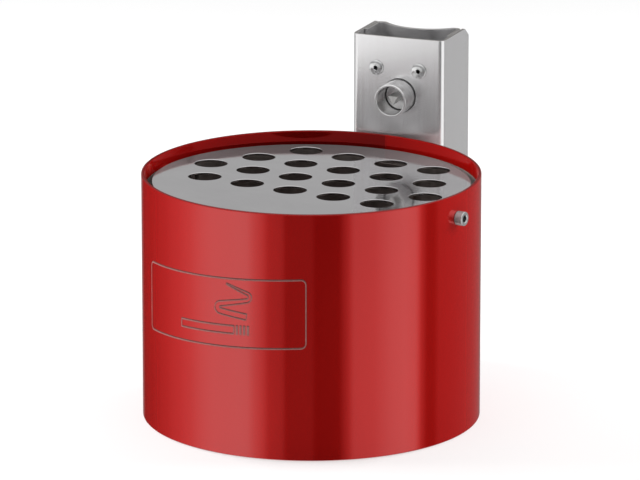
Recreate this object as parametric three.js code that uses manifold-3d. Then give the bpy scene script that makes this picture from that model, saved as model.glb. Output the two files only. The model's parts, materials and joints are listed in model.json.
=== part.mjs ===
// Post-mounted ashtray bin: a lacquered steel drum with a tilting sieve plate, hung by two eye lugs on
// pintle pins inside a stainless post bracket and held down by a lock bolt above its rim.
// Millimetres, +Z up. The origin is the centre of the drum's underside; +Y points to the post.
import * as THREE from "three";
import { mergeVertices } from "three/addons/utils/BufferGeometryUtils.js";
import Module from "manifold-3d";

const wasm = await Module();
wasm.setup();

// ---------- driving dimensions ----------
const GAP = 0.3; // between neighbours that are fixed or fitted to each other

// Drum
const BIN_R = 102; // outside radius
const BIN_H = 150;
const WALL_T = 2;
const BASE_T = 1.5;
const BASE_UPSTAND = 12;

// Sieve plate and its pivot
const PIVOT_BELOW_RIM = 14.5;
const SIEVE_R = 95.7;
const SIEVE_T = 1.5;
const SIEVE_BELOW_RIM = 6.1; // of the plate's top face, at the middle
const SIEVE_REST_TILT = 1; // degrees, front edge high, on its stop
const HOLE_R = 10;
const HOLE_PITCH = 30.3;
const ROW_PITCH = 30.2;
const REAR_ROW_Y = 64.8;
const HOLES_X = 1.1; // middle of the rows, right of the plate's middle
const ROW_COUNTS = [4, 5, 6, 5]; // holes in each row, from the rear row forwards
const EAR_T = 1.5;
const EAR_HALF_W = 8;
const EAR_FACE_X = 95; // outer face of each pivot ear
const STOP_HALF_W = 10;
const STOP_REACH = 11;
const STOP_DROP = 12;

// Pivot screws: M5 socket heads on the outside of the wall
const SCREW_R = 2.5;
const SCREW_HEAD_R = 4.25;
const SCREW_HEAD_H = 5;
const HEX_SOCKET_R = 2.31; // corner radius of a 4 mm hexagon
const NUT_R = 4.62; // corner radius of an 8 mm hexagon
const NUT_T = 4;
const SPACER_R = 5;
const CLEAR_HOLE_R = SCREW_R + GAP;

// Bracket: an open box of two nested folded sheets
const BRACKET_W = 60;
const BRACKET_D = 44; // from the face to the rear edges of its sides
const LAND_INSET = 6; // rear lands, inside those edges
const CORNER_CUT_D = 6.5; // cut off the sides' rear corners, from front to rear
const CORNER_CUT_H = 5;
const BRACKET_L = 200;
const BRACKET_ABOVE_RIM = 61;
const SHEET_T = 2;
const BEND_R = 3; // to the middle of the sheet
const FACE_BOW = 0.8; // how far the front face bulges between its bends
const POST_R = 30; // round post that the seat fits
const SEAT_HALF_CHORD = 22;
const SEAT_FRONT_Y = 4; // front edges of the seat's flanges, behind the pintle axis
const TIGHT_BEND_R = 2; // of the seat and the lock cage, to the middle of the sheet
const FIXING_HOLE_R = 4.25;
const DRIVER_HOLE_R = 6;

// Swivel: pintle pins inside the bracket, eye lugs on the drum
const PIVOT_BACKSET = 12; // pintle axis behind the bracket's face
const SQUARE_GAP = 3; // drum to bracket face when the drum hangs square
const DRUM_TURN = 9.9; // degrees; the drum hangs turned this far clockwise, seen from above
const LUG_OFFSET = 2.7; // degrees; the lugs stand this far counterclockwise of the drum's rear
const PIN_R = 4;
const PIN_H = 17;
const SHELF_T = 3;
const LUG_T = 3;
const LUG_R = 9.4;
const LUG_NECK_HALF_W = 6;
const HANGER_HALF_SWEEP = 10.5; // degrees
const LIFT = 18; // lifts the lugs clear of the pins
const SHELF_TOPS = { upper: 118, lower: 26 };
const BUSH_FLANGE_T = 1.5;
const BUSH_FLANGE_R = 8.5;
const BUSH_WALL = 1.2;

// Lock: a tube bolt over the rim, drawn in by a plug with a cam pin in the tube's helical groove
const LOCK_ABOVE_RIM = 24.6;
const LOCK_X = 1.2; // lock's axis, right of the bracket's middle
const BOLT_R = 10.3;
const BOLT_WALL = 1.5;
const BOLT_PROUD = 15.8;
const BOLT_TRAVEL = 16;
const BOLT_TAIL = 5.5; // length behind the bracket's face
const GUIDE_L = 6.6;
const GUIDE_WALL = 1.8;
const PLUG_R = 8.5;
const JOURNAL_R = 4;
const JOURNAL_L = 4.1;
const RING_R = 6.5; // retaining ring on the journal
const PLUG_FACE_PROUD = 0.5;
const STUD_SIDE = 6.8;
const STUD_RECESS = 5; // stud's tip behind the bolt's rim
const CAM_PIN_R = 1.2;
const GROOVE_DEPTH = 0.9;
const CAGE_T = 1.5;
const CAGE_HALF_W = 20;
const CAGE_BELOW_LOCK = 15;
const CAGE_ABOVE_RIVETS = 6;
const RIVET_ABOVE_RIM = 41;
const RIVET_SPACING = 27.8;
const RIVET_HEAD_R = 4.75;
const RIVET_BODY_R = 1.6;

// ---------- derived places ----------
const PIVOT_Z = BIN_H - PIVOT_BELOW_RIM;
const HANG_R = BIN_R + SQUARE_GAP + PIVOT_BACKSET; // drum axis to pintle axis
const SWING = THREE.MathUtils.degToRad(DRUM_TURN - LUG_OFFSET); // of the lugs, from square
const BRACKET_TOP = BIN_H + BRACKET_ABOVE_RIM;
const BRACKET_BOTTOM = BRACKET_TOP - BRACKET_L;
const FACE_Y = -PIVOT_BACKSET; // bracket group: pintle axis at x = y = 0
const REAR_EDGE_Y = FACE_Y + BRACKET_D;
const BACK_Y = REAR_EDGE_Y - LAND_INSET;
const POST_Y = BACK_Y + Math.sqrt(POST_R ** 2 - SEAT_HALF_CHORD ** 2);
const HOLLOW_FRONT_Y = POST_Y - POST_R - SHEET_T;
const LOCK_Z = BIN_H + LOCK_ABOVE_RIM;
const RIVET_Z = BIN_H + RIVET_ABOVE_RIM;
const BOLT_TAIL_Y = FACE_Y + BOLT_TAIL;
const BOLT_TIP_Y = FACE_Y - BOLT_PROUD;
const PLUG_PLATE_Y = BOLT_TAIL_Y + BOLT_TRAVEL + 0.5;
const CAM_PIN_Y = BOLT_TAIL_Y - 2.2;
const INNER_R = BIN_R - WALL_T;

// ---------- materials ----------
const stainless = new THREE.MeshStandardMaterial({ color: 0xb9b9bc, roughness: 0.35, metalness: 1 });
const polished = new THREE.MeshStandardMaterial({ color: 0xa8a8ac, roughness: 0.12, metalness: 1 });
const redLacquer = new THREE.MeshStandardMaterial({ color: 0xa51410, roughness: 0.25, metalness: 0.6 });
const darkSteel = new THREE.MeshStandardMaterial({ color: 0x77777a, roughness: 0.45, metalness: 1 });
const nylon = new THREE.MeshStandardMaterial({ color: 0xe6e4dc, roughness: 0.6, metalness: 0 });

// ---------- solids ----------
// A closed three.js geometry as a solid that can be cut and joined.
function toSolid(geometry) {
  const bare = geometry.index ? geometry.toNonIndexed() : geometry.clone();
  bare.deleteAttribute("normal");
  bare.deleteAttribute("uv");
  const merged = mergeVertices(bare, 1e-4);
  return new wasm.Manifold(
    new wasm.Mesh({
      numProp: 3,
      vertProperties: new Float32Array(merged.attributes.position.array),
      triVerts: new Uint32Array(merged.index.array),
    }),
  );
}

function toGeometry(solid) {
  const mesh = solid.getMesh();
  const geometry = new THREE.BufferGeometry();
  geometry.setAttribute("position", new THREE.BufferAttribute(mesh.vertProperties, mesh.numProp));
  geometry.setIndex(new THREE.BufferAttribute(mesh.triVerts, 1));
  const flat = geometry.toNonIndexed();
  flat.computeVertexNormals();
  return flat;
}

function cut(solid, ...tools) {
  return tools.reduce((left, tool) => left.subtract(tool), solid);
}

// A named mesh from a solid.
function piece(name, solid, material) {
  const mesh = new THREE.Mesh(toGeometry(solid), material);
  mesh.name = name;
  return mesh;
}

// A box between two corners.
function block([x0, y0, z0], [x1, y1, z1]) {
  const geometry = new THREE.BoxGeometry(x1 - x0, y1 - y0, z1 - z0);
  return toSolid(geometry.translate((x0 + x1) / 2, (y0 + y1) / 2, (z0 + z1) / 2));
}

// A rod of radius r along one axis ("x", "y" or "z"), from a to b, through the point [u, v] of the
// other two axes in their x, y, z order.
function rod(axis, r, a, b, [u, v], sides = 32) {
  const geometry = new THREE.CylinderGeometry(r, r, b - a, sides);
  geometry.translate(0, (a + b) / 2, 0);
  if (axis === "x") return toSolid(geometry.rotateZ(-Math.PI / 2).translate(0, u, v));
  if (axis === "y") return toSolid(geometry.translate(u, 0, v));
  return toSolid(geometry.rotateX(Math.PI / 2).translate(u, v, 0));
}

// A body of revolution about Z from [radius, height] pairs that run up its outside.
function turned(profile, sides) {
  const points = profile.map(([r, h]) => new THREE.Vector2(r, h));
  return toSolid(new THREE.LatheGeometry(points, sides).rotateX(Math.PI / 2));
}

// The same about Y, which is how LatheGeometry stands.
function turnedAboutY(profile, sides, x, z) {
  const points = profile.map(([r, h]) => new THREE.Vector2(r, h));
  return toSolid(new THREE.LatheGeometry(points, sides).translate(x, 0, z));
}

// An outline in XY, extruded from z0 to z1.
function prism(outline, z0, z1) {
  const shape = new THREE.Shape(outline.map(([x, y]) => new THREE.Vector2(x, y)));
  const geometry = new THREE.ExtrudeGeometry(shape, { depth: z1 - z0, bevelEnabled: false });
  return toSolid(geometry.translate(0, 0, z0));
}

// Points of an arc about [cx, cy], both ends included.
function arc([cx, cy], r, fromDeg, toDeg, steps) {
  return Array.from({ length: steps + 1 }, (_, i) => {
    const a = THREE.MathUtils.degToRad(fromDeg + ((toDeg - fromDeg) * i) / steps);
    return [cx + r * Math.cos(a), cy + r * Math.sin(a)];
  });
}

// The middle line of a folded sheet: corners are [x, y] or [x, y, bend radius].
function bendLine(corners, stepsPerBend = 6) {
  const line = [];
  corners.forEach(([x, y, r], i) => {
    const here = new THREE.Vector2(x, y);
    if (!r) {
      line.push(here);
      return;
    }
    const back = new THREE.Vector2(...corners[i - 1].slice(0, 2)).sub(here).normalize();
    const ahead = new THREE.Vector2(...corners[i + 1].slice(0, 2)).sub(here).normalize();
    const half = Math.acos(THREE.MathUtils.clamp(back.dot(ahead), -1, 1)) / 2;
    const middle = back.clone().add(ahead).normalize().multiplyScalar(r / Math.sin(half)).add(here);
    const start = here.clone().addScaledVector(back, r / Math.tan(half)).sub(middle);
    const turn = (Math.PI - 2 * half) * Math.sign(ahead.cross(back));
    for (let k = 0; k <= stepsPerBend; k += 1) {
      const spoke = start.clone().rotateAround(new THREE.Vector2(), (turn * k) / stepsPerBend);
      line.push(spoke.add(middle));
    }
  });
  return line;
}

// The outline of a sheet of thickness t that follows a middle line.
function sheetOutline(line, t) {
  const side = (sign) =>
    line.map((p, i) => {
      const before = p.clone().sub(line[Math.max(i - 1, 0)]).normalize();
      const after = line[Math.min(i + 1, line.length - 1)].clone().sub(p).normalize();
      const along = before.clone().add(after).normalize();
      const stretch = 1 / Math.max(along.dot(after.lengthSq() ? after : before), 0.5);
      return [p.x - (sign * along.y * t * stretch) / 2, p.y + (sign * along.x * t * stretch) / 2];
    });
  return [...side(-1), ...side(1).reverse()];
}

// ---------- drum ----------
function binWall() {
  const tube = turned(
    [
      [INNER_R, 0],
      [BIN_R, 0],
      [BIN_R, BIN_H],
      [INNER_R, BIN_H],
      [INNER_R, 0],
    ],
    96,
  );
  const screwHole = rod("x", CLEAR_HOLE_R, -BIN_R - 1, BIN_R + 1, [0, PIVOT_Z]);
  return cut(tube, screwHole, ...lugSlits().map((slit) => slit.rotate([0, 0, LUG_OFFSET])));
}

// A dished pan: flat underside, rounded corner, upstand against the wall.
function binBase() {
  const r = INNER_R - GAP;
  const corner = 4;
  const outside = arc([r - corner, corner], corner, -90, 0, 3);
  const inside = arc([r - corner, corner], corner - BASE_T, 0, -90, 3);
  return turned(
    [[0, 0], ...outside, [r, BASE_UPSTAND], [r - BASE_T, BASE_UPSTAND], ...inside, [0, BASE_T]],
    72,
  );
}

function lugBottom(level) {
  return SHELF_TOPS[level] + BUSH_FLANGE_T + 2 * GAP;
}

// Slits through the wall and the doubler behind it, one round each lug's neck, with the lugs at +Y.
function lugSlits() {
  return Object.keys(SHELF_TOPS).map((level) => {
    const z = lugBottom(level);
    const w = LUG_NECK_HALF_W + GAP;
    return block([-w, INNER_R - 8, z - GAP], [w, BIN_R + 5, z + LUG_T + GAP]);
  });
}

// Doubler inside the rear wall that both lugs are welded to.
function hangerPlate() {
  const outer = INNER_R - GAP;
  const [right, left] = [90 - HANGER_HALF_SWEEP, 90 + HANGER_HALF_SWEEP];
  const outline = [...arc([0, 0], outer, right, left, 7), ...arc([0, 0], outer - SHEET_T, left, right, 7)];
  return cut(prism(outline, BASE_UPSTAND + 3, PIVOT_Z - 3), ...lugSlits());
}

// Flat lug: a neck through the wall and an eye round the pintle axis.
function eyeLug(level) {
  const z = lugBottom(level);
  const root = INNER_R - SHEET_T - 2 * GAP;
  const neckAngle = THREE.MathUtils.radToDeg(Math.asin(LUG_NECK_HALF_W / LUG_R));
  const outline = [
    [-LUG_NECK_HALF_W, root],
    [LUG_NECK_HALF_W, root],
    ...arc([0, HANG_R], LUG_R, -90 + neckAngle, 270 - neckAngle, 24),
  ];
  const eye = rod("z", PIN_R + BUSH_WALL + 0.5, z - 1, z + LUG_T + 1, [0, HANG_R]);
  return cut(prism(outline, z, z + LUG_T), eye);
}

// Angle welded inside the front wall: the sieve plate's front edge rests on it.
function sieveStop() {
  const edgeLift = SIEVE_R * Math.sin(THREE.MathUtils.degToRad(SIEVE_REST_TILT));
  const top = BIN_H - SIEVE_BELOW_RIM - SIEVE_T + edgeLift - GAP;
  const wallSide = -Math.sqrt((INNER_R - GAP) ** 2 - STOP_HALF_W ** 2);
  const shelf = block([-STOP_HALF_W, wallSide, top - SHEET_T], [STOP_HALF_W, wallSide + STOP_REACH, top]);
  const leg = block([-STOP_HALF_W, wallSide, top - STOP_DROP], [STOP_HALF_W, wallSide + SHEET_T, top - 0.1]);
  return shelf.add(leg);
}

// Socket-head screw on one side (+1 or -1), from outside the wall to past the nut.
function pivotScrew(side) {
  const seat = BIN_R + 0.1;
  const tip = EAR_FACE_X - EAR_T - NUT_T - 2;
  const head = rod("x", SCREW_HEAD_R, seat, seat + SCREW_HEAD_H, [0, PIVOT_Z], 36);
  const shank = rod("x", SCREW_R, tip, seat + 1, [0, PIVOT_Z]);
  const socket = rod("x", HEX_SOCKET_R, seat + SCREW_HEAD_H - 2.5, seat + SCREW_HEAD_H + 1, [0, PIVOT_Z], 6);
  return onSide(side, head.add(shank).subtract(socket));
}

// Nylon spacer that keeps the ear off the wall.
function pivotSpacer(side) {
  const span = [EAR_FACE_X + GAP, INNER_R - GAP - 0.15];
  const ring = rod("x", SPACER_R, ...span, [0, PIVOT_Z]);
  return onSide(side, ring.subtract(rod("x", CLEAR_HOLE_R, 0, BIN_R, [0, PIVOT_Z])));
}

function pivotNut(side) {
  const face = EAR_FACE_X - EAR_T - GAP;
  const hexagon = rod("x", NUT_R, face - NUT_T, face, [0, PIVOT_Z], 6);
  return onSide(side, hexagon.subtract(rod("x", CLEAR_HOLE_R, 0, BIN_R, [0, PIVOT_Z])));
}

// A solid made for +X, turned half a turn about the drum's axis for -X.
function onSide(side, solid) {
  return side > 0 ? solid : solid.rotate([0, 0, 180]);
}

function drum() {
  const group = new THREE.Group();
  group.add(piece("bin_wall", binWall(), redLacquer));
  group.add(piece("bin_base", binBase(), redLacquer));
  group.add(piece("sieve_stop", sieveStop(), redLacquer));
  const rear = new THREE.Group();
  rear.rotation.z = THREE.MathUtils.degToRad(LUG_OFFSET);
  rear.add(piece("hanger_plate", hangerPlate(), redLacquer));
  for (const level of Object.keys(SHELF_TOPS)) {
    rear.add(piece(`eye_lug_${level}`, eyeLug(level), stainless));
    rear.add(piece(`bush_${level}`, bush(level), nylon));
  }
  group.add(rear);
  for (const [name, side] of [["right", 1], ["left", -1]]) {
    group.add(piece(`pivot_screw_${name}`, pivotScrew(side), stainless));
    group.add(piece(`pivot_spacer_${name}`, pivotSpacer(side), nylon));
    group.add(piece(`pivot_nut_${name}`, pivotNut(side), darkSteel));
  }
  return group;
}

// Flanged bush on a pintle pin: the lug's eye sits on its flange.
function bush(level) {
  const z = SHELF_TOPS[level] + GAP;
  const bore = PIN_R + 0.2;
  const barrel = bore + BUSH_WALL;
  const top = z + BUSH_FLANGE_T + LUG_T;
  const profile = [
    [bore, z],
    [BUSH_FLANGE_R, z],
    [BUSH_FLANGE_R, z + BUSH_FLANGE_T],
    [barrel, z + BUSH_FLANGE_T],
    [barrel, top],
    [bore, top],
    [bore, z],
  ];
  return turned(profile, 32).translate([0, HANG_R, 0]);
}

// ---------- sieve plate, about its pivot axis: z = 0 is the axis ----------
const SIEVE_TOP = PIVOT_BELOW_RIM - SIEVE_BELOW_RIM;
const SIEVE_BOTTOM = SIEVE_TOP - SIEVE_T;

function sievePlate() {
  const edge = 0.5;
  const disc = turned(
    [
      [0, SIEVE_BOTTOM],
      [SIEVE_R - edge, SIEVE_BOTTOM],
      [SIEVE_R, SIEVE_BOTTOM + edge],
      [SIEVE_R, SIEVE_TOP - edge],
      [SIEVE_R - edge, SIEVE_TOP],
      [0, SIEVE_TOP],
    ],
    96,
  );
  const holes = ROW_COUNTS.flatMap((count, row) =>
    Array.from({ length: count }, (_, i) => {
      const x = HOLES_X + (i - (count - 1) / 2) * HOLE_PITCH;
      const y = REAR_ROW_Y - row * ROW_PITCH;
      return rod("z", HOLE_R, SIEVE_BOTTOM - 1, SIEVE_TOP + 1, [x, y], 24);
    }),
  );
  return cut(disc, ...holes);
}

// Angle under the plate: a round-ended ear on the pivot and a flat leg spot-welded to the plate.
function pivotEar(side) {
  const inner = EAR_FACE_X - EAR_T;
  const top = SIEVE_BOTTOM - GAP;
  const leg = block([inner - 6.5, -EAR_HALF_W, top - EAR_T], [EAR_FACE_X, EAR_HALF_W, top]);
  const upright = block([inner, -EAR_HALF_W, 0], [EAR_FACE_X, EAR_HALF_W, top - 0.1]);
  const below = block([inner - 1, -EAR_HALF_W, -EAR_HALF_W - 1], [EAR_FACE_X + 1, EAR_HALF_W, 0.1]);
  const roundEnd = rod("x", EAR_HALF_W, inner, EAR_FACE_X, [0, 0]).intersect(below);
  const hole = rod("x", CLEAR_HOLE_R, inner - 1, EAR_FACE_X + 1, [0, 0]);
  return onSide(side, leg.add(upright).add(roundEnd).subtract(hole));
}

function sieve() {
  const group = new THREE.Group();
  group.position.z = PIVOT_Z;
  group.rotation.x = -THREE.MathUtils.degToRad(SIEVE_REST_TILT);
  group.add(piece("sieve_plate", sievePlate(), polished));
  group.add(piece("pivot_ear_right", pivotEar(1), stainless));
  group.add(piece("pivot_ear_left", pivotEar(-1), stainless));
  return group;
}

// ---------- bracket, about the pintle axis ----------
// Front sheet: a bowed face with a bend down each side, two lug windows and the lock's hole.
function frontCover() {
  const side = BRACKET_W / 2 - SHEET_T / 2;
  const face = FACE_Y + SHEET_T / 2;
  const bowAt = (x) => [x, face + FACE_BOW * (x / side) ** 2];
  const bow = [-22, -16, -8, 0, 8, 16, 22].map(bowAt);
  const corner = (x) => [...bowAt(x), BEND_R];
  const line = bendLine([[-side, REAR_EDGE_Y], corner(-side), ...bow, corner(side), [side, REAR_EDGE_Y]]);
  const cover = prism(sheetOutline(line, SHEET_T), BRACKET_BOTTOM, BRACKET_TOP);
  const windows = Object.values(SHELF_TOPS).map((z) => {
    const halfW = LUG_R + 0.8;
    return block([-halfW, FACE_Y - 3, z + 0.5], [halfW, FACE_Y + 5, z + LIFT + LUG_T + 3.5]);
  });
  const lockHole = rod("y", BOLT_R + 0.6, FACE_Y - 3, FACE_Y + 5, [LOCK_X, LOCK_Z], 40);
  const driverHoles = fixingHeights().map((z) => rod("y", DRIVER_HOLE_R, FACE_Y - 3, FACE_Y + 5, [0, z]));
  return cut(cover, lockHole, ...windows, ...driverHoles, ...rivetHoles(), cornerCut(1), cornerCut(-1));
}

// What is cut off the rear corners of both sides at one end, up (+1) or down (-1).
function cornerCut(end) {
  const edgeZ = end > 0 ? BRACKET_TOP : BRACKET_BOTTOM;
  const outline = [
    [REAR_EDGE_Y - CORNER_CUT_D, edgeZ],
    [REAR_EDGE_Y, edgeZ - end * CORNER_CUT_H],
    [REAR_EDGE_Y + 1, edgeZ - end * CORNER_CUT_H],
    [REAR_EDGE_Y + 1, edgeZ + end],
    [REAR_EDGE_Y - CORNER_CUT_D, edgeZ + end],
  ];
  return prism(outline, -BRACKET_W, BRACKET_W).rotate([90, 0, 90]);
}

// Heights of the two fixing screws, a third and two thirds of the way between the shelves.
function fixingHeights() {
  const { upper, lower } = SHELF_TOPS;
  return [1 / 3, 2 / 3].map((part) => lower + 10 + part * (upper - lower));
}

function rivetHoles() {
  const r = RIVET_BODY_R + GAP;
  return [-1, 1].map((s) => rod("y", r, FACE_Y - 3, FACE_Y + 6, [(s * RIVET_SPACING) / 2, RIVET_Z], 20));
}

// Rear sheet: flat lands and a hollow that fits the post, with flanges inside the cover's sides.
function postSeat() {
  const side = BRACKET_W / 2 - SHEET_T * 1.5 - GAP;
  const land = BACK_Y - SHEET_T / 2;
  const r = POST_R + SHEET_T / 2;
  const halfSweep = THREE.MathUtils.radToDeg(Math.acos((POST_Y - land) / r));
  const hollow = arc([0, POST_Y], r, -90 - halfSweep, -90 + halfSweep, 16);
  const line = bendLine([
    [-side, SEAT_FRONT_Y],
    [-side, land, TIGHT_BEND_R],
    ...hollow,
    [side, land, TIGHT_BEND_R],
    [side, SEAT_FRONT_Y],
  ]);
  const seat = prism(sheetOutline(line, SHEET_T), BRACKET_BOTTOM, BRACKET_TOP);
  const holes = fixingHeights().map((z) => rod("y", FIXING_HOLE_R, HOLLOW_FRONT_Y - 1, BACK_Y, [0, z]));
  return cut(seat, ...holes);
}

// Shelf across the seat's flanges that carries a pintle pin.
function pintleShelf(level) {
  const top = SHELF_TOPS[level];
  const halfW = BRACKET_W / 2 - SHEET_T * 2 - 2 * GAP;
  const front = FACE_Y + SHEET_T + FACE_BOW + GAP;
  const shelf = block([-halfW, front, top - SHELF_T], [halfW, HOLLOW_FRONT_Y - GAP, top]);
  return shelf.subtract(rod("z", PIN_R - 1 + GAP, top - 5, top + 1, [0, 0]));
}

// Pin with a shoulder on the shelf, a riveted tail through it and a chamfered head.
function pintlePin(level) {
  const z = SHELF_TOPS[level] + 0.05;
  const tail = PIN_R - 1;
  return turned(
    [
      [0, z - SHELF_T - 1],
      [tail, z - SHELF_T - 1],
      [tail, z],
      [PIN_R, z],
      [PIN_R, z + PIN_H - 1.5],
      [PIN_R - 1.2, z + PIN_H],
      [0, z + PIN_H],
    ],
    32,
  );
}

// Folded channel behind the face that carries the lock; the two blind rivets hold it.
function lockCage() {
  const face = FACE_Y + SHEET_T + CAGE_T / 2 + 0.6;
  const x = CAGE_HALF_W - CAGE_T / 2;
  const rear = PLUG_PLATE_Y - GAP;
  const line = bendLine([[-x, rear], [-x, face, TIGHT_BEND_R], [x, face, TIGHT_BEND_R], [x, rear]]);
  const channel = prism(sheetOutline(line, CAGE_T), LOCK_Z - CAGE_BELOW_LOCK, RIVET_Z + CAGE_ABOVE_RIVETS);
  const boltHole = rod("y", BOLT_R + GAP, FACE_Y, FACE_Y + 8, [LOCK_X, LOCK_Z], 40);
  return cut(channel, boltHole, ...rivetHoles());
}

// Sleeve behind the cage's face that guides the bolt.
function boltGuide() {
  const front = FACE_Y + SHEET_T + CAGE_T + 0.9;
  const inner = BOLT_R + GAP;
  const outer = inner + GUIDE_WALL;
  const rear = front + GUIDE_L;
  const profile = [[inner, front], [outer, front], [outer, rear], [inner, rear], [inner, front]];
  return turnedAboutY(profile, 40, LOCK_X, LOCK_Z);
}

// Plate across the cage's rear that the lock plug turns in.
function plugPlate() {
  const plate = block(
    [-CAGE_HALF_W, PLUG_PLATE_Y, LOCK_Z - CAGE_BELOW_LOCK],
    [CAGE_HALF_W, PLUG_PLATE_Y + CAGE_T, RIVET_Z + CAGE_ABOVE_RIVETS],
  );
  return plate.subtract(rod("y", JOURNAL_R + GAP, PLUG_PLATE_Y - 1, PLUG_PLATE_Y + 3, [LOCK_X, LOCK_Z]));
}

// Domed blind rivet with its mandrel hole, and the bulb behind the cage.
function rivet(side) {
  const seat = FACE_Y - 0.02;
  const dome = 1.5;
  const hole = 1.3;
  const back = FACE_Y + SHEET_T + CAGE_T + 0.8;
  const profile = [
    [0, seat - dome + 1.3],
    [hole, seat - dome + 1.3],
    [hole, seat - dome],
    [2.9, seat - dome + 0.25],
    [4.2, seat - dome + 0.85],
    [RIVET_HEAD_R, seat - 0.25],
    [RIVET_HEAD_R, seat],
    [RIVET_BODY_R, seat],
    [RIVET_BODY_R, back],
    [2.5, back + 0.5],
    [2.5, back + 2],
    [1.3, back + 3],
    [0, back + 3],
  ];
  return turnedAboutY(profile, 28, (side * RIVET_SPACING) / 2, RIVET_Z);
}

// ---------- lock ----------
// Tube bolt with a helical groove inside for the cam pin.
function lockBolt() {
  const bore = BOLT_R - BOLT_WALL;
  const lip = 0.4;
  const tube = turnedAboutY(
    [
      [bore, BOLT_TIP_Y + lip],
      [bore + lip, BOLT_TIP_Y],
      [BOLT_R - lip, BOLT_TIP_Y],
      [BOLT_R, BOLT_TIP_Y + lip],
      [BOLT_R, BOLT_TAIL_Y],
      [bore, BOLT_TAIL_Y],
      [bore, BOLT_TIP_Y + lip],
    ],
    48,
    LOCK_X,
    LOCK_Z,
  );
  const steps = 14;
  const groove = Array.from({ length: steps + 1 }, (_, i) => {
    const part = i / steps;
    const spoke = rod("z", CAM_PIN_R + 0.5, 5, bore + GROOVE_DEPTH, [0, 0], 10);
    const lean = -45 + 90 * part;
    return spoke.rotate([0, lean, 0]).translate([LOCK_X, CAM_PIN_Y - BOLT_TRAVEL * part, LOCK_Z]);
  });
  return cut(tube, ...groove);
}

// Plug with a triangular key stud, point down, and a rear journal in the plug plate.
function lockPlug() {
  const face = FACE_Y - PLUG_FACE_PROUD;
  const rear = PLUG_PLATE_Y - GAP;
  const end = rear + JOURNAL_L;
  const edge = 0.4;
  const profile = [
    [0, face],
    [PLUG_R - edge, face],
    [PLUG_R, face + edge],
    [PLUG_R, rear],
    [JOURNAL_R, rear],
    [JOURNAL_R, end],
    [0, end],
  ];
  const body = turnedAboutY(profile, 48, LOCK_X, LOCK_Z);
  const studR = STUD_SIDE / Math.sqrt(3);
  const studTip = BOLT_TIP_Y + STUD_RECESS;
  const prismStud = new THREE.CylinderGeometry(studR, studR, face + 1 - studTip, 3);
  prismStud.rotateY(Math.PI).translate(LOCK_X, (face + 1 + studTip) / 2, LOCK_Z);
  const rounding = rod("y", studR - 0.35, studTip - 1, face + 2, [LOCK_X, LOCK_Z], 32);
  const pinHole = camPinRod(CAM_PIN_R + 0.2, 4.7, PLUG_R + 2);
  return body.add(toSolid(prismStud).intersect(rounding)).subtract(pinHole);
}

// A radial rod in the plug at the cam pin's place.
function camPinRod(r, from, to) {
  return rod("z", r, from, to, [0, 0], 16).rotate([0, -45, 0]).translate([LOCK_X, CAM_PIN_Y, LOCK_Z]);
}

function camPin() {
  return camPinRod(CAM_PIN_R, 5, BOLT_R - BOLT_WALL + GROOVE_DEPTH - GAP);
}

// Open ring on the plug's journal behind the plug plate.
function plugRetainingRing() {
  const front = PLUG_PLATE_Y + CAGE_T + GAP;
  const ring = rod("y", RING_R, front, front + 1, [LOCK_X, LOCK_Z]);
  const bore = rod("y", JOURNAL_R + 0.2, front - 1, front + 2, [LOCK_X, LOCK_Z]);
  const mouth = block([LOCK_X - 2, front - 1, LOCK_Z - 8], [LOCK_X + 2, front + 2, LOCK_Z]);
  return cut(ring, bore, mouth);
}

function bracket() {
  const group = new THREE.Group();
  group.position.set(HANG_R * Math.sin(SWING), HANG_R * Math.cos(SWING), 0);
  group.add(piece("front_cover", frontCover(), stainless));
  group.add(piece("post_seat", postSeat(), stainless));
  for (const level of Object.keys(SHELF_TOPS)) {
    group.add(piece(`pintle_shelf_${level}`, pintleShelf(level), stainless));
    group.add(piece(`pintle_pin_${level}`, pintlePin(level), darkSteel));
  }
  group.add(piece("lock_cage", lockCage(), stainless));
  group.add(piece("bolt_guide", boltGuide(), stainless));
  group.add(piece("plug_plate", plugPlate(), stainless));
  group.add(piece("rivet_right", rivet(1), stainless));
  group.add(piece("rivet_left", rivet(-1), stainless));
  group.add(piece("lock_bolt", lockBolt(), stainless));
  group.add(piece("lock_plug", lockPlug(), stainless));
  group.add(piece("cam_pin", camPin(), darkSteel));
  group.add(piece("plug_retaining_ring", plugRetainingRing(), darkSteel));
  return group;
}

// The drum and its sieve hang turned to one side on the pintle axis.
const hanging = new THREE.Group();
hanging.rotation.z = -THREE.MathUtils.degToRad(DRUM_TURN);
hanging.add(drum(), sieve());

const ashtrayBin = new THREE.Group();
ashtrayBin.add(hanging, bracket());
export default ashtrayBin;
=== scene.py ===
import json
import math

import bmesh
import bpy
from mathutils import Matrix, Vector


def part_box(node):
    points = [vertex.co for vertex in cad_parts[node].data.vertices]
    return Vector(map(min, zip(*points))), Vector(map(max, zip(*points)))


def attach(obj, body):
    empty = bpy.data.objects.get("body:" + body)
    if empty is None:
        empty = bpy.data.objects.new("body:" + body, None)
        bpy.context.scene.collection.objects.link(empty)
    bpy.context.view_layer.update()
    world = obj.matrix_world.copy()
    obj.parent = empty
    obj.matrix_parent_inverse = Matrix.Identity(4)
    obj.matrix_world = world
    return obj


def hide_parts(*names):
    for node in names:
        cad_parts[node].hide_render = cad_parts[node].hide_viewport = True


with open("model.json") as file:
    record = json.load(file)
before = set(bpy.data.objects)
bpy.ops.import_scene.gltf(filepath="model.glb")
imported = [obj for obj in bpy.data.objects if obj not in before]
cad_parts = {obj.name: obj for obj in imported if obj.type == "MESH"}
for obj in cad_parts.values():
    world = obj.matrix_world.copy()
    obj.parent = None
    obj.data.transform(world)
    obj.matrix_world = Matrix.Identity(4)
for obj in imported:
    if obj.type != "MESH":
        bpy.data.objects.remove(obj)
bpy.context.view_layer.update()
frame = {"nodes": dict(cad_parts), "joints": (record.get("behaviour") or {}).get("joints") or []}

# ---------- sizes, in metres ----------
MM = 0.001
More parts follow.
